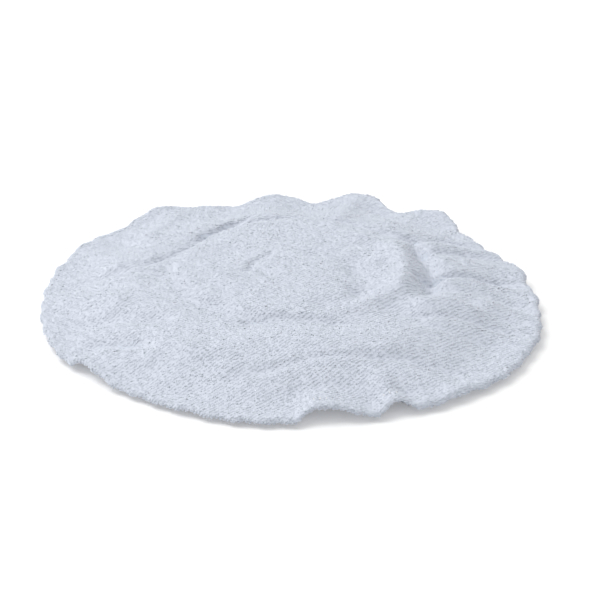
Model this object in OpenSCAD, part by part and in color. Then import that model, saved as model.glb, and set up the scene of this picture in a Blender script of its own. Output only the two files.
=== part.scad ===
// Terry polishing bonnet: a two-panel pile cover for a round polishing pad.
// It lies working face up. The skirt is turned under and its elastic hem rings the mouth below.
// Units are millimetres, +Z is up, and the origin is on the floor below the middle.

/* [Bonnet] */
// Outer diameter, lying flat
bonnet_d = 242; // [200:1:280]
// Height of the raised middle above the floor
bonnet_h = 20; // [19:0.5:24]
// Thickness of the terry, ground cloth and pressed pile together
terry_t = 2.2; // [1.6:0.1:2.2]
// Inner diameter of the relaxed mouth
mouth_d = 90; // [80:1:100]

/* [Rim seam] */
// Height of the seam between the two panels
seam_z = 3.7; // [3.7:0.1:4.2]
// Width of the seam allowance turned to the inside
allowance_w = 10; // [8:0.5:12]
// Thickness of one layer of the pressed seam allowance
allowance_t = 1.0; // [0.8:0.05:1]
// Number of stitches in the rim seam
rim_stitches = 216; // [72:2:240]
// Number of overlock loops round the seam allowance
overlock_loops = 240; // [80:2:260]

/* [Hem] */
// Height of the top fold of the hem casing above the floor
hem_top_z = 13.2; // [13:0.1:13.8]
// Thickness of the casing tape
tape_t = 0.6; // [0.4:0.1:0.7]
// Width of the elastic
elastic_w = 4.5; // [3.5:0.5:4.5]
// Thickness of the elastic
elastic_t = 1; // [0.8:0.1:1]
// Length over which the ends of the elastic lie on each other, as an angle
elastic_lap = 22; // [16:1:30]
// Length over which the ends of the casing tape lie on each other, as an angle
tape_lap = 14; // [10:1:20]
// Number of stitches in the hem row
hem_stitches = 120; // [60:2:150]
// Thickness of the sewing thread
thread_t = 0.34; // [0.2:0.02:0.34]

/* [Hidden] */
$fn = 96;

bonnet_r = bonnet_d / 2;
mouth_r = mouth_d / 2;
// Share of each stitch's pitch that its thread covers.
stitch_share = 0.72;
// Air left between pieces that are sewn together, so that no two solids share a face.
gap = 0.05;

// Levels and radii of the rim seam.
lip_top_z = seam_z + gap + allowance_t;
lip_bottom_z = seam_z - gap - allowance_t;
allowance_r = bonnet_r - allowance_w;
rim_roll = 5;
lip_root_r = bonnet_r - rim_roll;
rim_thread_r = lip_root_r - 1.2;

// Radii of the hem, from the mouth outwards: tape, terry, tape.
hem_terry_t = 2.8;
hem_terry_r = mouth_r + tape_t + 2 * gap;
hem_outer_r = hem_terry_r + hem_terry_t + 2 * gap;
hem_turn = 4;
hem_terry_z = 7.4;
tape_foot_z = hem_turn + 0.3;
hem_row_z = 5.8;
elastic_z = (hem_terry_z + hem_top_z - tape_t - elastic_w) / 2;

// Places round the hem, as angles from +X.
elastic_lap_at = 200;
tape_lap_at = 120;

// 0 below a, 1 above b, and smooth between.
function ease(a, b, x) = let (t = min(1, max(0, (x - a) / (b - a)))) t * t * (3 - 2 * t);
// Height lost by a quarter-round edge that starts a distance w inside the rim.
function rolled(w, x) = let (t = min(1, max(0, (x - bonnet_r + w) / w))) 1 - sqrt(1 - t * t);

// Height of the face. It lies flat over the hem ring, drops off the ring's shoulder into a
// shallow valley, swells a little and then slopes to the rim.
shoulder_drop = 4.6;
shoulder_in_r = 0.36 * bonnet_r;
shoulder_out_r = 0.52 * bonnet_r;
swell_h = 0.9;
rim_drop = (bonnet_h - shoulder_drop - seam_z) * 0.79;
function slope_share(r) = pow(max(0, r - 0.58 * bonnet_r) / (0.42 * bonnet_r), 1.3);
function face_z(r) =
    bonnet_h
    - shoulder_drop * ease(shoulder_in_r, shoulder_out_r, r)
    + swell_h * exp(-pow((r - 0.63 * bonnet_r) / 13, 2))
    - rim_drop * slope_share(r)
    - (bonnet_h - shoulder_drop - rim_drop - seam_z) * rolled(rim_roll, r);
function under_face_z(r) = max(face_z(r) - terry_t, lip_top_z + 0.25);

// Radii at which the curved profile of the face is drawn.
profile_steps = 30;
function profile_r(i) = shoulder_in_r + (lip_root_r - shoulder_in_r) * i / profile_steps;
rim_steps = 6;
function roll_r(i) = bonnet_r - rim_roll * (1 - sin(90 * i / rim_steps));

// One of n stitches round the axis: a short thread that lies along the row at the angle a.
module stitch(n, r, z, a) {
    rotate([0, 0, a])
        translate([r, 0, z])
            rotate([90, 0, 0])
                cylinder(d = thread_t, h = stitch_share * 2 * PI * r / n, center = true, $fn = 16);
}

// A row of n stitches round the axis.
module stitch_row(n, r, z) {
    for (i = [0 : n - 1])
        stitch(n, r, z, 360 * i / n);
}

// A zigzag tack lying on a wall of radius r, of n strokes between two heights.
module zigzag_tack(n, r, z0, z1, at, width) {
    half = thread_t / 2 * norm([1, (z1 - z0) * n / width]);
    turns = [for (i = [0 : n]) [width * (i / n - 0.5), i % 2 == 0 ? z0 : z1]];
    rotate([0, 0, at])
        translate([r, 0, 0])
            rotate([90, 0, 90])
                linear_extrude(height = thread_t)
                    polygon(concat(
                        [for (p = turns) p - [0, half]],
                        [for (i = [n : -1 : 0]) turns[i] + [0, half]]));
}

// The working face: a terry disc whose edge is turned in at the rim as a seam allowance.
module face_panel() {
    top = concat(
        [[0, bonnet_h]],
        [for (i = [0 : profile_steps]) [profile_r(i), face_z(profile_r(i))]],
        [for (i = [1 : rim_steps]) [roll_r(i), face_z(roll_r(i))]]);
    lip = [[bonnet_r, seam_z + gap], [allowance_r, seam_z + gap],
           [allowance_r, lip_top_z], [lip_root_r, lip_top_z]];
    under = concat(
        [for (i = [profile_steps : -1 : 0]) [profile_r(i), under_face_z(profile_r(i))]],
        [[0, bonnet_h - terry_t]]);
    color("whitesmoke")
        rotate_extrude()
            polygon(concat(top, lip, under));
}

// The skirt: a terry ring turned under the face, flat on the floor, and up into the hem.
module skirt_panel() {
    rim = [for (i = [0 : rim_steps])
        let (a = 90 * i / rim_steps)
        [bonnet_r - rim_roll * (1 - cos(a)), (seam_z - gap) * (1 - sin(a))]];
    turn_r = hem_terry_r + hem_turn;
    turn_out = [for (i = [0 : rim_steps])
        let (a = 90 * i / rim_steps)
        [turn_r - hem_turn * sin(a), hem_turn * (1 - cos(a))]];
    inner_turn = hem_turn - terry_t;
    pocket_r = hem_terry_r + hem_terry_t;
    turn_in = [for (i = [rim_steps : -1 : 0])
        let (a = 90 * i / rim_steps)
        [turn_r - (turn_r - pocket_r) * sin(a), hem_turn - inner_turn * cos(a)]];
    lip = [[lip_root_r, terry_t], [lip_root_r, lip_bottom_z],
           [allowance_r, lip_bottom_z], [allowance_r, seam_z - gap]];
    color("gainsboro")
        rotate_extrude()
            polygon(concat(
                rim, turn_out,
                [[hem_terry_r, hem_terry_z], [pocket_r, hem_terry_z]],
                turn_in, lip));
}

// The seam that joins the panels: one thread above the allowances and one below them.
module rim_seam_thread() {
    color("ivory") {
        stitch_row(rim_stitches, rim_thread_r, lip_top_z + gap + thread_t / 2);
        stitch_row(rim_stitches, rim_thread_r, lip_bottom_z - gap - thread_t / 2);
    }
}

// The overlock loops that bind the raw edges of both allowances.
module rim_overlock() {
    bite = 2.4;
    loop_w = 0.5;
    wall = 0.28;
    top_z = lip_top_z + gap + wall;
    bottom_z = lip_bottom_z - gap - wall;
    back_r = allowance_r - gap - wall;
    color("ivory")
        for (i = [0 : overlock_loops - 1])
            rotate([90, 0, 360 * i / overlock_loops])
                linear_extrude(height = loop_w, center = true)
                    polygon([[back_r, bottom_z], [back_r + bite, bottom_z],
                             [back_r + bite, bottom_z + wall], [back_r + wall, bottom_z + wall],
                             [back_r + wall, top_z - wall], [back_r + bite, top_z - wall],
                             [back_r + bite, top_z], [back_r, top_z]]);
}

// The hem casing: a tape folded over the skirt's edge, with a tunnel for the elastic.
module hem_casing() {
    inner_r = mouth_r;
    outer_r = hem_outer_r + tape_t;
    fold = 1.2;
    color("white") {
        rotate_extrude()
            polygon([
                [inner_r, tape_foot_z], [inner_r + tape_t, tape_foot_z],
                [inner_r + tape_t, hem_top_z - tape_t], [hem_outer_r, hem_top_z - tape_t],
                [hem_outer_r, tape_foot_z], [outer_r, tape_foot_z],
                [outer_r, hem_top_z - fold], [outer_r - fold, hem_top_z],
                [inner_r + fold, hem_top_z], [inner_r, hem_top_z - fold]]);
        // The tape's end, lapped over its start on the outside.
        rotate_extrude(angle = tape_lap, start = tape_lap_at)
            translate([outer_r, tape_foot_z])
                square([tape_t, hem_top_z - fold - tape_foot_z]);
    }
}

// The elastic: a flat band closed into a ring, with its end lapped over its start.
module elastic_band() {
    inner_r = hem_terry_r;
    color("snow") {
        rotate_extrude()
            translate([inner_r, elastic_z])
                square([elastic_t, elastic_w]);
        rotate_extrude(angle = elastic_lap, start = elastic_lap_at)
            translate([inner_r + elastic_t, elastic_z])
                square([elastic_t, elastic_w]);
    }
}

// The zigzag tack that closes the ring of elastic.
module elastic_join_tack() {
    r = hem_terry_r + 2 * elastic_t + 0.1;
    color("ivory")
        zigzag_tack(7, r, elastic_z + 1, elastic_z + elastic_w - 1,
                    elastic_lap_at + elastic_lap / 2, 7);
}

// The thread of the hem row that shows on the outer side of the casing.
module hem_stitch_outer() {
    free_r = hem_outer_r + tape_t + gap + thread_t / 2;
    pitch = 360 / hem_stitches;
    first = tape_lap_at - pitch;
    last = tape_lap_at + tape_lap + pitch;
    color("ivory")
        for (i = [0 : hem_stitches - 1])
            let (a = pitch * i)
                stitch(hem_stitches, a > first && a < last ? free_r + tape_t : free_r, hem_row_z, a);
}

// The thread of the hem row that shows on the mouth side of the casing.
module hem_stitch_inner() {
    color("ivory")
        stitch_row(hem_stitches, mouth_r - 0.1 - thread_t / 2, hem_row_z);
}

// The tack that closes the ring of casing tape.
module casing_join_tack() {
    r = hem_outer_r + 2 * tape_t + 0.1;
    color("ivory")
        zigzag_tack(5, r, hem_row_z + 1.5, hem_top_z - 2, tape_lap_at + tape_lap / 2, 5);
}

face_panel();
skirt_panel();
rim_seam_thread();
rim_overlock();
hem_casing();
elastic_band();
elastic_join_tack();
hem_stitch_outer();
hem_stitch_inner();
casing_join_tack();
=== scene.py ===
"""Terry polishing bonnet, lying working face up on a pale floor.

The ground cloth of each panel is a closed sheet. The face's shape is a height profile, a list of
folds, and the lobes and arches of its rim. The pile is real: rows of yarn loops that stand on the
cloth. Below the face are the gathered skirt, the taped hem with its elastic, and the stitching.

Blender's own values are in metres. The shapes are worked out in millimetres, and new_object()
turns them into metres. +X is right, +Y away from the camera and +Z up.
"""
import math

import bpy
import numpy as np
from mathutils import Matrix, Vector


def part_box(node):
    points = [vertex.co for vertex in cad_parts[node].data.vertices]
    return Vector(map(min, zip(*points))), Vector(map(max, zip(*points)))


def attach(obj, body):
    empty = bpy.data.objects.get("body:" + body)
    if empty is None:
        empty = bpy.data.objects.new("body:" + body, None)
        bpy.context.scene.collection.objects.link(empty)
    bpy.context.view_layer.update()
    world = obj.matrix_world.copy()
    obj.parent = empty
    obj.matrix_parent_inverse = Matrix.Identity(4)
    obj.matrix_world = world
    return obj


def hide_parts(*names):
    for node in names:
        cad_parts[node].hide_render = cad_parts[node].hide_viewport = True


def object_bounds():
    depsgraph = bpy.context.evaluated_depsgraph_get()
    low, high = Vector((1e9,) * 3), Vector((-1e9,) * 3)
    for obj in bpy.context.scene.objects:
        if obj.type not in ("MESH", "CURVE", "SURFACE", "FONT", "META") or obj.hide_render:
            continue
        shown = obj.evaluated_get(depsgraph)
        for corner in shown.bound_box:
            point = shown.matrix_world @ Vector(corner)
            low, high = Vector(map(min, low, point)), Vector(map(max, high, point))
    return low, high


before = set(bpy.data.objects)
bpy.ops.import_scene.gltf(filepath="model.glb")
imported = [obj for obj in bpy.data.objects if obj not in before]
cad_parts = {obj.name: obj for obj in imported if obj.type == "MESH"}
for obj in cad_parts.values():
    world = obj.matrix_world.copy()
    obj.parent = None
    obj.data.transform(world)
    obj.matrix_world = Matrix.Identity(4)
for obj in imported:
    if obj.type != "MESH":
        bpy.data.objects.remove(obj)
cad_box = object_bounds()

MM = 0.001
TAU = 2 * math.pi
rng = np.random.default_rng(7)

# ---------------------------------------------------------------- driving dimensions (mm)
BOX_LOW, BOX_HIGH = cad_box
BONNET_R = (BOX_HIGH.x - BOX_LOW.x) / 2 / MM
BONNET_H = BOX_HIGH.z / MM
HEM_LOW, HEM_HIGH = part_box("hem_casing")
# From the outside of the hem in to the mouth.
HEM_DEPTH = 4.2
MOUTH_R = HEM_HIGH.x / MM - HEM_DEPTH
HEM_FOOT = HEM_LOW.z / MM
HEM_TOP = HEM_HIGH.z / MM
FACE_PILE = 1.9
SKIRT_PILE = 1.1
# Thickness of the ground cloth of the skirt and allowances, of the face, and of the tape.
CLOTH_T = 0.7
FACE_CLOTH_T = 0.95
TAPE_T = 0.45
THREAD_R = 0.19
# Height of the seam between face and skirt.
SEAM_Z = 2.8
# Share of the cloth's own normal in the shading of the pile.
NORMAL_BLEND = 0.7
# How far the shading normals of the pile are turned upwards, so that the rim isn't too dark.
RIM_GLOW = 1.0
# Width of the face that rolls over the rim, of the skirt that slopes in under it, and of the
# seam allowance inside them.
ROLL = 3.0
TUCK = 8.0
ALLOWANCE = 9.0
# The allowance starts this far inside the pile, and lies this much narrower than it was cut.
ALLOWANCE_START = 0.5
ALLOWANCE_LOSS = 2.5
# Half the gap between the two allowances.
SEAM_GAP = 0.12


# ---------------------------------------------------------------- camera
def make_camera():
    """Looks down at the middle from the front, at the angle of a product photograph."""
    elevation = math.radians(25.5)
    distance = 1.1
    back = Vector((0, -math.cos(elevation), math.sin(elevation)))
    up = Vector((0, math.sin(elevation), math.cos(elevation)))
    # The bonnet sits a little left of and below the middle of the frame.
    aim = Vector((0.0047, 0, 0)) + up * 0.0043
    data = bpy.data.cameras.new("camera")
    data.sensor_width = 36
    data.lens = 137.7
    data.clip_start, data.clip_end = 0.05, 20
    camera = bpy.data.objects.new("camera", data)
    bpy.context.scene.collection.objects.link(camera)
    camera.location = aim + back * distance
    camera.rotation_mode = "QUATERNION"
    camera.rotation_quaternion = (-back).to_track_quat("-Z", "Y")
    bpy.context.scene.camera = camera


make_camera()


# ---------------------------------------------------------------- shape of the face (mm)
def ease(a, b, x):
    """0 below a, 1 above b, and smooth between."""
    t = np.clip((x - a) / (b - a), 0, 1)
    return t * t * (3 - 2 * t)


def bump(x, half_width):
    return np.exp(-((x / half_width) ** 2))


def turn_between(azimuth, centre):
    """The signed angle in degrees from centre to azimuth, -180 to 180."""
    return (azimuth - centre + 180) % 360 - 180


# Lobes of the rim: azimuth, half width (both degrees), outward reach, lift.
RIM_LOBES = [
    (30, 22, -6.5, 0.5), (8, 9, -0.5, 0.3), (84, 6, -4.5, -0.6), (103, 7, -5.5, -0.5),
    (62, 5, -4, -0.5), (95, 6, 2, 2.6), (72, 7, 5, 3.4), (50, 6, 6.5, 3.2),
    (125, 6, 4.5, 2.6), (137, 4, -1, 0.6), (150, 6, 1, 1.6), (163, 5, 0, 0.9),
    (178, 9, -0.8, 0.9), (0, 5, 0.5, 0.6), (16, 5, 3, 0.8), (37, 4, -0.5, 0.6),
    (208, 6, 0.5, 0.5), (234, 13, -2.5, 0.2), (262, 8, 1.0, 0.1), (284, 4, 0.5, 0.0),
    (305, 12, 3, 0.5), (324, 12, 4.5, 0.6), (342, 8, 2.5, 0.4), (112, 4, -1.5, 0.3),
]
# Arches of the front half, where the whole rim stands off the floor: azimuth, its half widths to
# smaller and to larger azimuths, lift, draw-in.
RIM_ARCHES = [
    (277.0, 4.6, 9.0, 4.6, -4.2), (294.3, 4.2, 3.0, 3.8, -3.0), (216.5, 3.0, 10.0, 2.8, -2.5),
    (248, 4.0, 4.0, 0.5, -0.5), (309, 4.5, 4.5, 0.8, -0.6),
]
# Folds of the face: from x, y to x, y, half width, height. Below zero is a valley.
FOLDS = [
    # thin valleys that fan out on the right, from the edge of the raised middle
    (58, 50, 92, 53, 4.0, -1.2), (62, 31, 104, 41, 3.0, -1.2), (68, 3, 112, 12, 3.0, -1.8),
    (76, -8, 112, -13, 3.0, -0.8), (62, -38, 112, -41, 2.2, -0.8), (64, -46, 106, -60, 4.4, -0.9),
    (46, -32, 60, -38, 5.0, -0.5), (86, -60, 100, -72, 4.0, -0.2),
    # the deep pocket below the middle's right edge, and a pinch in it
    (64, 33, 66, -8, 4.2, -1.9), (76, 34, 82, 24, 3.0, -0.7), (72, -8, 86, -18, 4.0, -0.6),
    # ridges between them
    (74, 21, 108, 26, 5.5, 1.1), (64, -26, 86, -28, 5.0, 1.5), (94, -18, 114, -24, 5.0, 1.1),
    (72, 44, 100, 47, 4.0, 0.7), (90, 3, 112, 2, 4.0, 0.5),
    # the edge of the middle at the back, a rim that is cut in by the cloth behind it
    (-24, 66, -2, 75, 3.0, -1.4), (-2, 75, 22, 69, 2.8, -1.7), (22, 69, 42, 55, 2.6, -1.1),
    (42, 57, 60, 50, 2.6, -0.9), (60, 50, 62, 36, 3.0, -0.9),
    # the crease at the back left, which runs on as a soft fold
    (-22, 79, -31, 67, 2.4, -1.3), (-31, 67, -42, 53, 2.2, -1.0), (-42, 53, -64, 24, 2.4, -0.8),
    (-64, 25, -104, 9, 3.4, -0.7), (-84, 14, -62, 4, 4.0, -0.5),
    # swells and lobes at the back
    (26, 82, 34, 108, 6.0, 1.3), (52, 70, 66, 94, 8.0, 1.2), (44, 96, 56, 78, 4.0, -0.8),
    (8, 84, 14, 108, 6.0, -0.9), (-14, 84, -6, 104, 6.0, 0.5), (-36, 84, -30, 104, 6.0, -1.1),
    (-70, 58, -56, 92, 8.0, 1.6), (-96, 44, -84, 24, 9.0, 1.0), (-92, 66, -78, 50, 4.0, -0.5),
    # long soft folds on the left
    (-108, -8, -82, -20, 8.0, 1.5), (-106, -34, -66, -40, 4.6, -1.3),
    (-104, -54, -74, -58, 3.6, -1.2), (-74, -58, -44, -78, 3.6, -0.9),
    (-60, -66, -44, -70, 7.0, 1.1), (-96, -62, -74, -74, 7.0, 0.6),
    # the front: a bright crescent, a long thin line below it, and the lobes beside the arches
    (-40, -74, 44, -69, 10.0, 0.8), (-34, -93, -8, -87, 3.0, -0.3), (-8, -87, 42, -76, 2.6, -0.7),
    (42, -76, 78, -81, 2.8, -0.6), (44, -92, 70, -90, 7.0, 1.1), (40, -101, 60, -99, 2.4, -0.3),
    (6, -100, 26, -97, 4.5, -0.8), (-44, -98, -16, -96, 7.0, -0.5), (-60, -78, -40, -86, 6.0, -0.5),
    # the lip along the right of the middle, the hollow inside it, and small pinches
    (30, 46, 52, 26, 6.0, 0.8), (52, 26, 54, -10, 6.0, 1.5), (54, -10, 40, -28, 5.0, 0.5),
    (30, 14, 34, -14, 8.0, -1.5), (34, -14, 18, -32, 7.0, -1.2), (16, 22, 38, 34, 3.5, -0.3),
    (-19, 7, -15, 17, 1.8, -0.8), (-12, 16, -9, 24, 1.8, -0.5), (-13, 4, -10, -2, 2.0, -0.4),
    (-38, -8, -30, -28, 6.0, -0.5), (-46, 6, -34, 30, 10.0, -0.4), (-28, 62, -48, 38, 6.0, -0.7),
    # the foot of the middle's front edge
    (-42, -27, -18, -44, 2.6, -0.7), (-18, -46, 20, -47, 2.4, -0.8),
]
FOLD_GAIN = 1.7
# A fold fades out past its ends over a share of its length and a little more.
FOLD_FADE_SHARE = 0.21
FOLD_FADE = 2.0
# How far a fold bows to one side, as a share of its length.
FOLD_BOW = 0.07


def fold_heights(x, y):
    """The sum of all folds at the points x, y."""
    total = np.zeros_like(x)
    for x0, y0, x1, y1, half_width, height in FOLDS:
        dx, dy = x1 - x0, y1 - y0
        length = math.hypot(dx, dy)
        along = ((x - x0) * dx + (y - y0) * dy) / length
        past = np.maximum(0, np.maximum(-along, along - length))
        # A fold bows a little to one side, so that none is a straight stroke.
        bow = FOLD_BOW * length * np.sin(np.pi * np.clip(along / length, 0, 1))
        across = ((y - y0) * dx - (x - x0) * dy) / length - bow
        fade = bump(past, FOLD_FADE_SHARE * length + FOLD_FADE)
        total += FOLD_GAIN * height * bump(across, half_width) * fade
    return total


def ripples(x, y):
    """Shallow waves of the cloth between its folds, a sum of a few sine waves."""
    # frequency in x and in y, phase, height
    waves = [(0.071, 0.043, 0.3, 0.16), (-0.052, 0.102, 1.9, 0.14), (0.129, -0.061, 4.1, 0.11),
             (0.188, 0.121, 2.2, 0.07), (-0.217, 0.094, 5.3, 0.06), (0.093, 0.264, 0.9, 0.05)]
    return sum(a * np.sin(TAU * (kx * x + ky * y) * 0.35 + p) for kx, ky, p, a in waves)


# How far inside the CAD's radius the rim lies between its lobes.
RIM_INSET = 1.6


def rim_radius(azimuth):
    """Radius of the rim, and how far it is lifted, at an azimuth in degrees."""
    reach = np.zeros_like(azimuth)
    # The rim lies down in front and stands off the floor a little at the back.
    lift = 2.8 * ((1 + np.sin(np.radians(azimuth))) / 2) ** 1.5
    for centre, half, out, up in RIM_LOBES:
        share = bump(turn_between(azimuth, centre), half)
        reach += out * share
        lift += up * share
    for centre, half_below, half_above, up, inward in RIM_ARCHES:
        turn = turn_between(azimuth, centre)
        half = np.where(turn < 0, half_below, half_above)
        share = np.cos(np.clip(np.abs(turn) / (1.25 * half), 0, 1) * math.pi / 2) ** 1.2
        lift += up * share
        reach += inward * share
    # Small scallops where the seam draws the cloth in, larger away from the front.
    a = np.radians(azimuth)
    from_front = np.abs(turn_between(azimuth, 270))
    reach += 0.7 * np.sin(a * 33 + 0.8) * ease(60, 130, from_front)
    reach += 0.5 * np.sin(a * 57 + 2.0)
    return BONNET_R - RIM_INSET + reach, lift


# Drop at the edge of the raised middle, and the softer one of the shoulder round it.
EDGE_DROP = 2.8
SHOULDER_DROP = 1.8


def face_profile(r, r_mid, azimuth):
    """Height of the pile's top, before the folds.

    r is the radius from the axis, and r_mid that from the centre of the raised middle."""
    back = np.clip(np.sin(np.radians(azimuth)), -1, 1)
    drop = EDGE_DROP * ease(52, 62, r_mid) + SHOULDER_DROP * ease(36, 86, r_mid)
    swell = (0.9 - 0.4 * back) * bump(r_mid - 77, 12)
    slope = ease(73 - 3 * back, 118, r) ** 1.05
    rim_top = 4.9 + 1.2 * ease(105, 120, r) * (0.5 - 0.5 * back) + 0.9 * back
    middle_top = BONNET_H - 0.4
    return middle_top - drop + swell - (middle_top - EDGE_DROP - SHOULDER_DROP - rim_top) * slope


# Share of the way to the seam at which the cloth starts to roll over the rim.
FLAT_SHARE = 0.965
LEAST_TOP = 5.2
# Centre of the raised middle, which sits a little towards the back.
MIDDLE_X = 3
MIDDLE_Y = 13


def face_top(share, azimuth):
    """Points of the face's pile top (mm). share runs from 0 in the middle to 1 at the seam."""
    rim, lift = rim_radius(azimuth)
    # The last part of the cloth rolls over the edge, down to the seam.
    inner = np.clip(share / FLAT_SHARE, 0, 1)
    # Loops may hang a little past the seam, up to a share of 1.006.
    turn = np.clip((share - FLAT_SHARE) / (1 - FLAT_SHARE), 0, 1.17) * math.pi / 2
    r = inner * (rim - ROLL) + ROLL * np.sin(turn)
    a = np.radians(azimuth)
    x, y = r * np.cos(a), r * np.sin(a)
    near_rim = ease(0.72, 1.0, share)
    # The rim is stiffer than the rest, so the folds fade out towards it.
    folds = (fold_heights(x, y) + ripples(x, y)) * (1 - 0.55 * near_rim ** 2)
    z = face_profile(r, np.hypot(x - MIDDLE_X, y - MIDDLE_Y), azimuth) + folds
    # Even in the valleys the skirt and its allowance have room below the face.
    z = np.maximum(z, LEAST_TOP) + lift * near_rim ** 1.5
    z_seam = SEAM_Z + lift
    z = z - (z - z_seam) * (1 - np.cos(turn))
    return np.stack([x, y, z], -1)


def surface_normals(points_at, share, azimuth, step_share=0.002, step_deg=0.25):
    """Unit normals of a surface given as a function of share and azimuth."""
    before = np.maximum(share - step_share, 0.001)
    ds = points_at(share + step_share, azimuth) - points_at(before, azimuth)
    # Right at the middle the step round would have no length.
    off_middle = np.maximum(share, 0.02)
    da = points_at(off_middle, azimuth + step_deg) - points_at(off_middle, azimuth - step_deg)
    n = np.cross(ds, da)
    return n / np.maximum(np.linalg.norm(n, axis=-1, keepdims=True), 1e-9)


# ---------------------------------------------------------------- meshes
def grid_normals(points):
    """Unit normals of a grid of points whose columns run round in a ring."""
    down = np.gradient(points, axis=0)
    round_it = np.roll(points, -1, axis=1) - np.roll(points, 1, axis=1)
    n = np.cross(down, round_it)
    return n / np.maximum(np.linalg.norm(n, axis=-1, keepdims=True), 1e-9)


def new_object(name, vertices_mm, faces, material, normals=None):
    """A mesh object from arrays. normals, if given, are its shading normals, one per vertex."""
    mesh = bpy.data.meshes.new(name)
    v = np.asarray(vertices_mm, np.float32) * MM
    f = np.asarray(faces, np.int32)
    mesh.vertices.add(len(v))
    mesh.vertices.foreach_set("co", v.ravel())
    mesh.loops.add(f.size)
    mesh.loops.foreach_set("vertex_index", f.ravel())
    mesh.polygons.add(len(f))
    side = f.shape[1]
    mesh.polygons.foreach_set("loop_start", np.arange(len(f), dtype=np.int32) * side)
    mesh.polygons.foreach_set("use_smooth", np.full(len(f), True))
    mesh.update(calc_edges=True)
    mesh.validate()
    if normals is not None:
        mesh.normals_split_custom_set_from_vertices(normals)
    mesh.materials.append(material)
    piece = bpy.data.objects.new(name, mesh)
    bpy.context.scene.collection.objects.link(piece)
    return piece


def grid_faces(rows, columns, start=0, flip=False):
    """Quads of a grid whose columns close into a ring."""
    i = np.arange(rows - 1)[:, None] * columns + start
    j = np.arange(columns)[None, :]
    k = (j + 1) % columns
    quads = np.stack([i + j, i + k, i + columns + k, i + columns + j], -1).reshape(-1, 4)
    return quads[:, ::-1] if flip else quads


def tubes(path, side, radius, sides):
    """Thin tubes along many paths (count, points, 3): vertices, quads and outward directions.

    side is a unit vector per path that lies across it, and radius an array, one per path."""
    count, points = path.shape[:2]
    tangent = np.gradient(path, axis=1)
    tangent /= np.linalg.norm(tangent, axis=-1, keepdims=True)
    side = np.repeat(side[:, None, :], points, 1)
    other = np.cross(tangent, side)
    other /= np.maximum(np.linalg.norm(other, axis=-1, keepdims=True), 1e-9)
    angles = TAU * np.arange(sides) / sides
    ring = (side[:, :, None, :] * np.cos(angles)[None, None, :, None]
            + other[:, :, None, :] * np.sin(angles)[None, None, :, None])
    vertices = path[:, :, None, :] + ring * radius[:, None, None, None]
    base = np.arange(count)[:, None, None] * (points * sides)
    i = np.arange(points - 1)[None, :, None] * sides
    j = np.arange(sides)[None, None, :]
    k = (j + 1) % sides
    quads = np.stack([base + i + j, base + i + k, base + i + sides + k, base + i + sides + j], -1)
    return vertices.reshape(-1, 3), quads.reshape(-1, 4), ring.reshape(-1, 3)


def yarn_loops(foot, normal, along, height, width, lean, heading, radius, sides=3, segments=4):
    """Pile loops as tubes: vertices, quads and shading normals.

    The arguments but the last two hold one value or vector per loop.

    foot is the loop's middle on the cloth, and along is the direction of its row. Each loop is
    a narrow arch that leans by lean (radians) towards heading (radians round the normal)."""
    across = np.cross(normal, along)
    lean_to = along * np.cos(heading)[:, None] + across * np.sin(heading)[:, None]
    up = normal * np.cos(lean)[:, None] + lean_to * np.sin(lean)[:, None]
    twist = rng.uniform(-0.9, 0.9, len(foot))
    plane = along * np.cos(twist)[:, None] + across * np.sin(twist)[:, None]
    t = np.linspace(0, 1, segments + 1)
    # The head of a loop is wider than its neck.
    reach = np.cos(np.pi * t) * (1 + 0.25 * np.sin(np.pi * t) ** 2)
    path = (foot[:, None, :]
            + plane[:, None, :] * reach[None, :, None] * (width / 2)[:, None, None]
            + up[:, None, :] * np.sin(np.pi * t)[None, :, None] * height[:, None, None]
            - normal[:, None, :] * 0.25)
    side = np.cross(plane, up)
    side /= np.linalg.norm(side, axis=-1, keepdims=True)
    vertices, quads, outward = tubes(path, side, radius, sides)
    # Fuzzy yarn has no sharp shading of its own, so its normals lean to those of the cloth.
    cloth = np.repeat(normal, (segments + 1) * sides, axis=0)
    shading = outward * (1 - NORMAL_BLEND) + cloth * NORMAL_BLEND
    shading[:, 2] += RIM_GLOW * ease(-0.5, 0.3, outward[:, 2]) * ease(-0.9, -0.3, cloth[:, 2])
    shading /= np.maximum(np.linalg.norm(shading, axis=1, keepdims=True), 1e-6)
    return vertices, quads, shading


# ---------------------------------------------------------------- materials
def node_material(name):
    material = bpy.data.materials.new(name)
    material.use_nodes = True
    nodes = material.node_tree.nodes
    return material, nodes, material.node_tree.links, nodes["Principled BSDF"]


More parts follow.
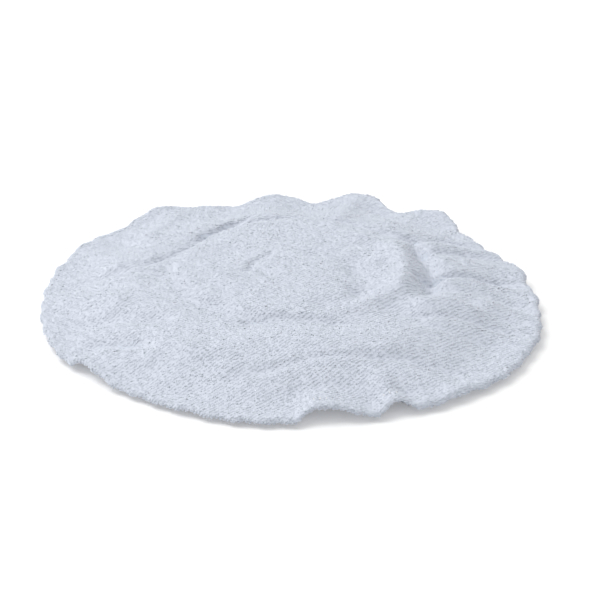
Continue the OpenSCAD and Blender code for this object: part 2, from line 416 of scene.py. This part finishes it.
def cotton(name, light, shade, mottle_scale, roughness=0.9, sheen=0.25, bump_scale=900):
    """White cotton: soft mottling between two tones, a felted bump and a faint sheen."""
    material, nodes, links, shader = node_material(name)
    place = nodes.new("ShaderNodeTexCoord")
    mottle = nodes.new("ShaderNodeTexNoise")
    mottle.inputs["Scale"].default_value = mottle_scale
    mottle.inputs["Detail"].default_value = 5
    links.new(place.outputs["Object"], mottle.inputs["Vector"])
    tones = nodes.new("ShaderNodeValToRGB")
    tones.color_ramp.elements[0].position = 0.36
    tones.color_ramp.elements[0].color = (*shade, 1)
    tones.color_ramp.elements[1].position = 0.64
    tones.color_ramp.elements[1].color = (*light, 1)
    links.new(mottle.outputs["Fac"], tones.inputs["Fac"])
    links.new(tones.outputs["Color"], shader.inputs["Base Color"])
    fuzz = nodes.new("ShaderNodeTexNoise")
    fuzz.inputs["Scale"].default_value = bump_scale
    fuzz.inputs["Detail"].default_value = 3
    links.new(place.outputs["Object"], fuzz.inputs["Vector"])
    relief = nodes.new("ShaderNodeBump")
    relief.inputs["Strength"].default_value = 0.25
    relief.inputs["Distance"].default_value = 0.0003
    links.new(fuzz.outputs["Fac"], relief.inputs["Height"])
    links.new(relief.outputs["Normal"], shader.inputs["Normal"])
    shader.inputs["Roughness"].default_value = roughness
    shader.inputs["Sheen Weight"].default_value = sheen
    shader.inputs["Sheen Roughness"].default_value = 0.5
    shader.inputs["Specular IOR Level"].default_value = 0.15
    return material


PILE = cotton("cotton_pile", (0.625, 0.668, 0.745), (0.605, 0.648, 0.725), 140,
              bump_scale=1300)
SKIRT_YARN = cotton("cotton_pile_under", (0.67, 0.71, 0.785), (0.64, 0.68, 0.755), 120)
CLOTH = cotton("ground_cloth", (0.61, 0.65, 0.725), (0.59, 0.63, 0.705), 500)
THREAD = cotton("sewing_thread", (0.84, 0.84, 0.83), (0.76, 0.76, 0.75), 2500,
                roughness=0.6, sheen=0.1)
ELASTIC = cotton("braided_elastic", (0.85, 0.85, 0.83), (0.70, 0.70, 0.69), 1500,
                 roughness=0.7)
TAPE = cotton("casing_tape", (0.74, 0.765, 0.81), (0.68, 0.705, 0.75), 700)


# ---------------------------------------------------------------- face panel
def sheet_from_sides(name, outer, inner, material, closed_middle=False):
    """A closed sheet between two grids of points (rows, columns, 3), which run round in rings."""
    rows, columns = outer.shape[:2]
    n = rows * columns
    vertices = np.concatenate([outer.reshape(-1, 3), inner.reshape(-1, 3)])
    j = np.arange(columns)
    k = (j + 1) % columns

    def edge(row, flip):
        first = row * columns
        quads = np.stack([first + j, first + k, n + first + k, n + first + j], -1)
        return quads[:, ::-1] if flip else quads

    quads = [grid_faces(rows, columns), grid_faces(rows, columns, n, flip=True),
             edge(rows - 1, False)]
    if closed_middle:
        # The innermost ring is small, so strips of quads straight across it close it.
        half = columns // 2
        i = np.arange(half - 1)
        across = np.stack([i, i + 1, columns - 2 - i, columns - 1 - i], -1)
        across = across[across[:, 1] < across[:, 2]]
        quads += [across[:, ::-1], across + n]
    else:
        quads.append(edge(0, True))
    return new_object(name, vertices, np.concatenate(quads), material)


def build_face():
    columns, rows = ((360, 110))
    azimuth = np.arange(columns) * 360 / columns
    # Rows close up towards the rim, where the cloth rolls over.
    share = np.concatenate([np.linspace(0.01, 0.955, rows - 14), np.linspace(0.962, 1.0, 14)])
    s, a = np.meshgrid(share, azimuth, indexing="ij")
    top = face_top(s, a)
    normal = surface_normals(face_top, s, a)
    # The ground cloth lies below the heads of the loops.
    outer = top - normal * FACE_PILE * 0.36
    inner = outer - normal * FACE_CLOTH_T
    # Past the seam the cloth turns inwards, as the upper seam allowance.
    lip_outer, lip_inner = allowance(azimuth, up=1)
    return sheet_from_sides("face_cloth", np.concatenate([outer, lip_outer]),
                            np.concatenate([inner, lip_inner]), CLOTH, closed_middle=True)


def allowance(azimuth, up, steps=6):
    """The seam allowance of one panel: its outer side at the seam, its inner side away from it."""
    rim, lift = rim_radius(azimuth)
    share = np.linspace(0, 1, steps)[:, None]
    r = rim - FACE_PILE - ALLOWANCE_START - (ALLOWANCE - ALLOWANCE_LOSS) * share
    z = SEAM_Z + lift + up * SEAM_GAP + 0 * share
    a = np.radians(azimuth)
    outer = np.stack([r * np.cos(a), r * np.sin(a), z], -1)
    r_in = r - 0.8 * (1 - share)
    inner = np.stack([r_in * np.cos(a), r_in * np.sin(a), z + up * CLOTH_T], -1)
    return outer, inner


def face_loops():
    """The pile of the face, in straight woven rows that follow the cloth."""
    row_pitch, spacing = ((1.6, 0.72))
    reach = BONNET_R + 10
    row_angle = math.radians(40)
    rows = np.arange(-reach, reach, row_pitch)
    steps = np.arange(-reach, reach, spacing)
    v, u = np.meshgrid(rows, steps, indexing="ij")
    u = u + (np.arange(len(rows)) % 2)[:, None] * spacing / 2
    # The rows are drawn about a little with the cloth.
    v = v + 1.3 * np.sin(u * 0.045 + 1.0) + 0.9 * np.sin(u * 0.11 + v * 0.03)
    u, v = u.ravel(), v.ravel()
    u = u + rng.normal(0, 0.16, u.size)
    v = v + rng.normal(0, 0.12, v.size)
    x = u * math.cos(row_angle) - v * math.sin(row_angle)
    y = u * math.sin(row_angle) + v * math.cos(row_angle)
    azimuth = np.degrees(np.arctan2(y, x)) % 360
    rim, _ = rim_radius(azimuth)
    # share of the way to the seam along the cloth, whose last bit rolls over the edge
    flat = rim - ROLL
    rho = np.hypot(x, y)
    past = (rho - flat) / (ROLL * math.pi / 2)
    share = np.where(rho <= flat, rho / flat * FLAT_SHARE, FLAT_SHARE + past * (1 - FLAT_SHARE))
    keep = (share < 1.005) & (share > 0.004)
    share, azimuth = share[keep], azimuth[keep]
    top = face_top(share, azimuth)
    normal = surface_normals(face_top, share, azimuth)
    foot = top - normal * FACE_PILE * 0.5
    row_dir = np.array([math.cos(row_angle), math.sin(row_angle), 0.0])
    along = row_dir - normal * (normal @ row_dir)[:, None]
    along /= np.linalg.norm(along, axis=1, keepdims=True)
    n = len(foot)
    height = rng.normal(FACE_PILE * 0.48, 0.12, n)
    width = rng.normal(0.82, 0.1, n)
    lean = np.abs(rng.normal(0.75, 0.25, n))
    # Most loops lean over to the next row, as woven.
    heading = rng.normal(-TAU / 4, 0.9, n)
    radius = rng.normal(0.37, 0.05, n)
    return foot, normal, along, height, width, lean, heading, radius, azimuth


def build_face_pile(parts=8):
    values = face_loops()
    azimuth = values[-1]
    pieces = []
    for i in range(parts):
        chosen = (azimuth >= 360 * i / parts) & (azimuth < 360 * (i + 1) / parts)
        arrays = [v[chosen] for v in values[:-1]]
        vertices, quads, shading = yarn_loops(*arrays)
        pieces.append(new_object(f"face_pile_{i + 1}", vertices, quads, PILE, shading))
    print("face loops", len(azimuth))
    return pieces


# ---------------------------------------------------------------- gathers of the skirt and hem
GATHERS = 58
HEM_WAVE = 1.9
HEM_MID_R = MOUTH_R + 2.1
TURN_R = 5.2
# Shares of the way from the seam to the hem at which the tuck ends, the skirt turns up, and the
# turn ends in the upright wall.
TUCK_SHARE = 0.10
TURN_SHARE = 0.84
WALL_SHARE = 0.92
# How far the skirt's cloth lies inside the rim, besides its pile.
SKIRT_INSET = 1.4
# Height of the skirt's gathered edge inside the tape.
SKIRT_TOP = 7.3
# Height of the pleats next to the hem, and of the stronger ones that reach further out.
PLEAT_H = 5.4
FAR_PLEAT_H = 2.2
# The pleats end this far inside the rim.
PLEAT_END = 6


def gather_wave(azimuth):
    """From -1 to 1: the uneven pleats that the elastic draws the cloth into."""
    a = np.radians(azimuth)
    phase = GATHERS * a + 1.1 * np.sin(3 * a + 1) + 0.9 * np.sin(7 * a + 2.3) + 0.6 * np.sin(13 * a)
    size = 0.82 + 0.18 * np.sin(11 * a + 0.7) * np.sin(5 * a)
    return np.cos(phase) * size


def floor_pleats(azimuth, r):
    """Height of the pleats that run from the hem out over the floor side of the skirt (mm)."""
    a = np.radians(azimuth)
    rim, _ = rim_radius(azimuth)
    reach = rim - PLEAT_END
    nearness = np.clip((reach - r) / (reach - HEM_MID_R - TURN_R), 0, 1)
    wave = 0.5 + 0.5 * gather_wave(azimuth)
    # Only the stronger pleats reach far out, and some of them wander together.
    strong = 0.5 + 0.5 * np.sin(19 * a + 2.0 * np.sin(4 * a))
    far = FAR_PLEAT_H * strong ** 2 * nearness ** 0.8 * (1 - nearness)
    return PLEAT_H * wave ** 1.2 * nearness ** 2.2 + far


def skirt_outer(share, azimuth):
    """Points of the skirt's ground cloth on its floor side (mm), from the seam to the hem."""
    rim, lift = rim_radius(azimuth)
    a = np.radians(azimuth)
    tuck = np.clip(share / TUCK_SHARE, 0, 1)
    along = np.clip((share - TUCK_SHARE) / (TURN_SHARE - TUCK_SHARE), 0, 1)
    turn = np.clip((share - TURN_SHARE) / (WALL_SHARE - TURN_SHARE), 0, 1) * math.pi / 2
    wall = np.clip((share - WALL_SHARE) / (1 - WALL_SHARE), 0, 1)
    cloth_r = rim - SKIRT_PILE - SKIRT_INSET
    start_r = cloth_r - TUCK
    turn_r = HEM_MID_R + TURN_R
    r = cloth_r - TUCK * tuck - (start_r - turn_r) * along - TURN_R * np.sin(turn)
    fall = (SEAM_Z - SKIRT_PILE) * ease(0, 1, tuck)
    z = SEAM_Z - fall + lift * (1 - ease(0.0, 0.3, share)) + TURN_R * (1 - np.cos(turn))
    z = z + (SKIRT_TOP - TURN_R - SKIRT_PILE) * wall
    # Pleats stand up from the floor, and in the hem they wave to both sides.
    z = z + floor_pleats(azimuth, r) * (1 - turn / (math.pi / 2)) * ease(0.5, 1, tuck)
    r = r + HEM_WAVE * gather_wave(azimuth) * np.sin(turn)
    return np.stack([r * np.cos(a), r * np.sin(a), z], -1)


def build_skirt():
    columns, rows = ((928, 64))
    azimuth = np.arange(columns) * 360 / columns
    share = np.concatenate([np.linspace(0, TUCK_SHARE, 8), np.linspace(0.115, 1, rows - 8)])
    s, a = np.meshgrid(share, azimuth, indexing="ij")
    outer = skirt_outer(s, a)
    normal = -surface_normals(skirt_outer, s, a)
    inner = outer + normal * CLOTH_T * skirt_inward(normal, s, a)
    lip_outer, lip_inner = allowance(azimuth, up=-1)
    outer = np.concatenate([lip_outer[::-1], outer])
    inner = np.concatenate([lip_inner[::-1], inner])
    return sheet_from_sides("skirt_cloth", outer, inner, CLOTH)


def skirt_inward(normal, share, azimuth):
    """1 or -1 so that the normal points into the pocket, up from the floor or out from the mouth."""
    a = np.radians(azimuth)
    inwards = np.where(share < WALL_SHARE, normal[..., 2] + 0.3 * np.sign(normal[..., 2]),
                       normal[..., 0] * np.cos(a) + normal[..., 1] * np.sin(a))
    return np.where(inwards >= 0, 1.0, -1.0)[..., None]


def build_skirt_pile(parts=4):
    """Shorter loops on the floor side of the skirt, pressed flat where the bonnet lies on them."""
    row_pitch, spacing = ((1.8, 1.25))
    path_length = BONNET_R - HEM_MID_R + TURN_R * 0.57
    shares, azimuths = [], []
    for share in np.arange(0.004, 0.975, row_pitch / path_length):
        radius = BONNET_R - share * path_length if share < TURN_SHARE else HEM_MID_R
        radius = max(radius, HEM_MID_R)
        gathered = 1 + 0.8 * ease(0.35, 0.85, share)
        count = int(TAU * radius * gathered / spacing)
        shares.append(np.full(count, share))
        azimuths.append((np.arange(count) + rng.uniform()) * 360 / count)
    share, azimuth = np.concatenate(shares), np.concatenate(azimuths)
    share = np.clip(share + rng.normal(0, 0.002, share.size), 0.0, 0.98)
    azimuth = azimuth + rng.normal(0, 0.08, azimuth.size)
    foot = skirt_outer(share, azimuth)
    normal = surface_normals(skirt_outer, share, azimuth, step_deg=0.1)
    normal = normal * -skirt_inward(normal, share, azimuth)
    a = np.radians(azimuth)
    along = np.stack([-np.sin(a), np.cos(a), np.zeros_like(a)], -1)
    along = along - normal * (normal * along).sum(1)[:, None]
    along /= np.linalg.norm(along, axis=1, keepdims=True)
    n = len(foot)
    # The pile is short at the seam, where it is pinched.
    height = rng.normal(1.35, 0.2, n) * (0.4 + 0.6 * ease(0, TUCK_SHARE, share))
    values = [foot, normal, along, height, rng.normal(1.05, 0.12, n),
              np.abs(rng.normal(0.85, 0.2, n)), rng.uniform(0, TAU, n), rng.normal(0.34, 0.04, n)]
    pieces = []
    for i in range(parts):
        chosen = (azimuth % 360 >= 360 * i / parts) & (azimuth % 360 < 360 * (i + 1) / parts)
        vertices, quads, shading = yarn_loops(*[v[chosen] for v in values])
        vertices[:, 2] = np.maximum(vertices[:, 2], 0.03)
        pieces.append(new_object(f"skirt_pile_{i + 1}", vertices, quads, SKIRT_YARN, shading))
    print("skirt loops", n)
    return pieces


# ---------------------------------------------------------------- hem
ELASTIC_R = MOUTH_R + 1.2
# Rows of points up one leaf of the folded tape, and the distance of a leaf from the skirt's middle.
LEAF_ROWS = 14
LEAF_OFFSET = 1.1
# Between these heights the leaves part, to go round the elastic.
TUNNEL_START = 7.0
TUNNEL_FULL = 8.8


def casing_middle(azimuth):
    """The middle of the folded tape (rows, columns, 3), from the outer foot over to the inner."""
    wave = gather_wave(azimuth)[None, :]
    a = np.radians(azimuth)[None, :]
    top = HEM_TOP - 1.5 + 0.25 * wave
    rise = np.linspace(0, 1, LEAF_ROWS)[:, None]
    z_leaf = HEM_FOOT + (top - HEM_FOOT) * rise
    # Round the elastic the two leaves bulge apart; below it they hold the skirt between them.
    apart = ease(TUNNEL_START, TUNNEL_FULL, z_leaf)
    outer = (HEM_MID_R + LEAF_OFFSET + HEM_WAVE * wave) * (1 - apart)
    outer = outer + (ELASTIC_R + 2.0 + 1.5 * (1 + wave)) * apart
    inner = (HEM_MID_R - LEAF_OFFSET + HEM_WAVE * wave) * (1 - apart)
    inner = inner + (ELASTIC_R - 1.0 - 1.2 * (1 - wave)) * apart
    arc = np.linspace(0, math.pi, 9)[1:-1, None]
    mix = (1 - np.cos(arc)) / 2
    r_arc = outer[-1:] * (1 - mix) + inner[-1:] * mix
    z_arc = top + 1.1 * np.sin(arc)
    r = np.concatenate([outer, r_arc, inner[::-1]])
    z = np.concatenate([z_leaf, z_arc, z_leaf[::-1]])
    return np.stack([r * np.cos(a), r * np.sin(a), z + 0 * a], -1)


def build_casing():
    columns = 928
    azimuth = np.arange(columns) * 360 / columns
    middle = casing_middle(azimuth)
    normal = grid_normals(middle)
    return sheet_from_sides("hem_casing_tape", middle + normal * TAPE_T / 2,
                            middle - normal * TAPE_T / 2, TAPE)


# Share of the pitch that a stitch covers, and the pitches of the hem and rim rows.
STITCH_SHARE = 0.8
HEM_PITCH = 2.5
RIM_PITCH = 3.4


def stitches_along(curve, outward, pitch, dip=0.25):
    """Stitches on a closed curve (points, 3): paths and their side vectors.

    outward is the cloth's normal at each point. The ends of a stitch dip into the cloth."""
    step = np.linalg.norm(np.roll(curve, -1, axis=0) - curve, axis=1)
    length = np.concatenate([[0], np.cumsum(step)])
    closed = np.concatenate([curve, curve[:1]])
    normals = np.concatenate([outward, outward[:1]])
    count = int(length[-1] / pitch)
    starts = np.arange(count) * length[-1] / count
    t = np.linspace(0, 1, 6)
    at = starts[:, None] + t[None, :] * length[-1] / count * STITCH_SHARE
    place = np.stack([np.interp(at, length, closed[:, i]) for i in range(3)], -1)
    normal = np.stack([np.interp(at, length, normals[:, i]) for i in range(3)], -1)
    arch = np.sin(np.pi * t) ** 0.6
    path = place + normal * (THREAD_R * 0.7 - dip * (1 - arch))[None, :, None]
    along = path[:, -1] - path[:, 0]
    side = np.cross(along, normal[:, 3])
    side /= np.linalg.norm(side, axis=1, keepdims=True)
    return path, side


def thread_object(name, rows):
    """One object from several rows of stitches, each a (path, side) pair."""
    path = np.concatenate([r[0] for r in rows])
    side = np.concatenate([r[1] for r in rows])
    vertices, quads, _ = tubes(path, side, np.full(len(path), THREAD_R), 6)
    return new_object(name, vertices, quads, THREAD)


def build_hem_stitches():
    azimuth = np.arange(3000) * 360 / 3000
    middle = casing_middle(azimuth)
    normal = grid_normals(middle)
    stitch_z = 5.7
    row = int(np.argmin(np.abs(middle[:LEAF_ROWS, :, 2].mean(1) - stitch_z)))
    a = np.radians(azimuth)
    pieces = []
    # The outer row faces away from the axis, and the inner one towards it.
    for name, index, away in (("hem_stitches_outer", row, 1),
                              ("hem_stitches_inner", len(middle) - 1 - row, -1)):
        facing = normal[index]
        radial = facing[:, 0] * np.cos(a) + facing[:, 1] * np.sin(a)
        facing = facing * np.where(radial * away >= 0, 1, -1)[:, None]
        curve = middle[index] + facing * TAPE_T / 2
        pieces.append(thread_object(name, [stitches_along(curve, facing, HEM_PITCH)]))
    return pieces


def build_casing_tack():
    """The zigzag that closes the ring of tape, on its outer leaf."""
    low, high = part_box("casing_join_tack")
    middle = (low + high) / 2
    centre = math.degrees(math.atan2(middle.y, middle.x))
    strokes, width = 5, 5.0
    t = np.linspace(0, 1, strokes * 8 + 1)
    azimuth = centre + (t - 0.5) * math.degrees(width / HEM_MID_R)
    # A triangle wave between the tack's foot and its top.
    rise = np.abs((t * strokes) % 2 - 1)
    height = low.z / MM + (high.z - low.z) / MM * rise
    leaf = casing_middle(azimuth)[:LEAF_ROWS]
    points = []
    for i, z in enumerate(height):
        column = leaf[:, i]
        points.append([np.interp(z, column[:, 2], column[:, axis]) for axis in range(3)])
    a = math.radians(centre)
    outward = np.array([math.cos(a), math.sin(a), 0.0])
    path = np.array(points) + outward * (TAPE_T / 2 + THREAD_R * 0.6)
    return thread_object("casing_tack_zigzag", [(path[None], outward[None])])


RIM_STEPS = 2400


def rim_curve(inset, height):
    """A closed curve that follows the rim, inset mm inside it and height mm above the seam."""
    azimuth = np.arange(RIM_STEPS) * 360 / RIM_STEPS
    rim, lift = rim_radius(azimuth)
    a = np.radians(azimuth)
    r = rim - inset
    return np.stack([r * np.cos(a), r * np.sin(a), SEAM_Z + lift + height], -1)


def build_rim_seam():
    """The lockstitch through both allowances: a thread above them and one below."""
    rows = []
    for up in (1, -1):
        curve = rim_curve(FACE_PILE + 2.6, up * (SEAM_GAP + CLOTH_T))
        facing = np.repeat([[0.0, 0.0, float(up)]], len(curve), 0)
        rows.append(stitches_along(curve, facing, RIM_PITCH))
    return thread_object("rim_seam_stitches", rows)


def build_overlock():
    """Thread loops that wrap the raw edges of both allowances."""
    # inset of the raw edge, and how far in from it the loops reach
    reach = 2.4
    edge = FACE_PILE + ALLOWANCE_START + ALLOWANCE - ALLOWANCE_LOSS
    count = 240
    pick = (np.arange(count) * RIM_STEPS / count).astype(int)
    top = SEAM_GAP + CLOTH_T + THREAD_R
    stations = [(edge - reach, top), (edge - 0.4, top), (edge + THREAD_R, top * 0.5),
                (edge + THREAD_R, -top * 0.5), (edge - 0.4, -top), (edge - reach, -top)]
    path = np.stack([rim_curve(inset, height)[pick] for inset, height in stations], 1)
    # Each loop slants a little along the edge.
    drift = np.roll(rim_curve(edge, 0), -6, axis=0)[pick] - rim_curve(edge, 0)[pick]
    path = path + drift[:, None, :] * np.linspace(-0.5, 0.5, len(stations))[None, :, None]
    side = drift / np.linalg.norm(drift, axis=1, keepdims=True)
    return thread_object("rim_overlock_loops", [(path, side)])


# ---------------------------------------------------------------- floor and light
def build_stage():
    mesh = bpy.data.meshes.new("floor")
    half = 3.0
    corners = [(-half, -half, 0), (half, -half, 0), (half, half, 0), (-half, half, 0)]
    mesh.from_pydata(corners, [], [(0, 1, 2, 3)])
    material, _, _, shader = node_material("floor")
    shader.inputs["Base Color"].default_value = (0.80, 0.80, 0.80, 1)
    shader.inputs["Roughness"].default_value = 0.8
    shader.inputs["Emission Color"].default_value = (1, 1, 1, 1)
    shader.inputs["Emission Strength"].default_value = 0.17
    mesh.materials.append(material)
    floor = bpy.data.objects.new("floor", mesh)
    bpy.context.scene.collection.objects.link(floor)


def area_light(name, place, size, watts):
    """A square light at place (metres) that points at the middle of the bonnet's footprint."""
    data = bpy.data.lights.new(name, "AREA")
    data.shape = "SQUARE"
    data.size = size
    data.energy = watts
    light = bpy.data.objects.new(name, data)
    bpy.context.scene.collection.objects.link(light)
    light.location = place
    light.rotation_mode = "QUATERNION"
    light.rotation_quaternion = (-Vector(place)).to_track_quat("-Z", "Y")


def build_light():
    scene = bpy.context.scene
    scene.view_settings.view_transform = "Standard"
    world = bpy.data.worlds.new("studio")
    world.use_nodes = True
    background = world.node_tree.nodes["Background"]
    background.inputs["Color"].default_value = (1, 1, 1, 1)
    background.inputs["Strength"].default_value = 0.80
    scene.world = world
    area_light("softbox", (-1.5, 0.45, 2.1), size=1.9, watts=42)
    area_light("low back light", (-1.0, 3.6, 1.4), size=2.4, watts=20)


build_stage()
build_light()

face = build_face()
face_pile = build_face_pile()
skirt = build_skirt()
skirt_pile = build_skirt_pile()
casing = build_casing()
hem_outer, hem_inner = build_hem_stitches()
casing_tack = build_casing_tack()
rim_seam = build_rim_seam()
overlock = build_overlock()

PIECES = {
    "terry_face": [face, *face_pile],
    "terry_skirt": [skirt, *skirt_pile],
    "casing_tape": [casing],
    "thread": [hem_outer, hem_inner, casing_tack, rim_seam, overlock],
}
for slot, pieces in PIECES.items():
    for piece in pieces:
        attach(piece, "root")
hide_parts("face_panel")
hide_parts("skirt_panel")
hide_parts("hem_casing")
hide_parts("hem_stitch_outer")
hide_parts("hem_stitch_inner")
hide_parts("casing_join_tack")
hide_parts("rim_seam_thread")
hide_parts("rim_overlock")

for node, material in (("elastic_band", ELASTIC), ("elastic_join_tack", THREAD)):
    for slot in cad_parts[node].material_slots:
        slot.material = material
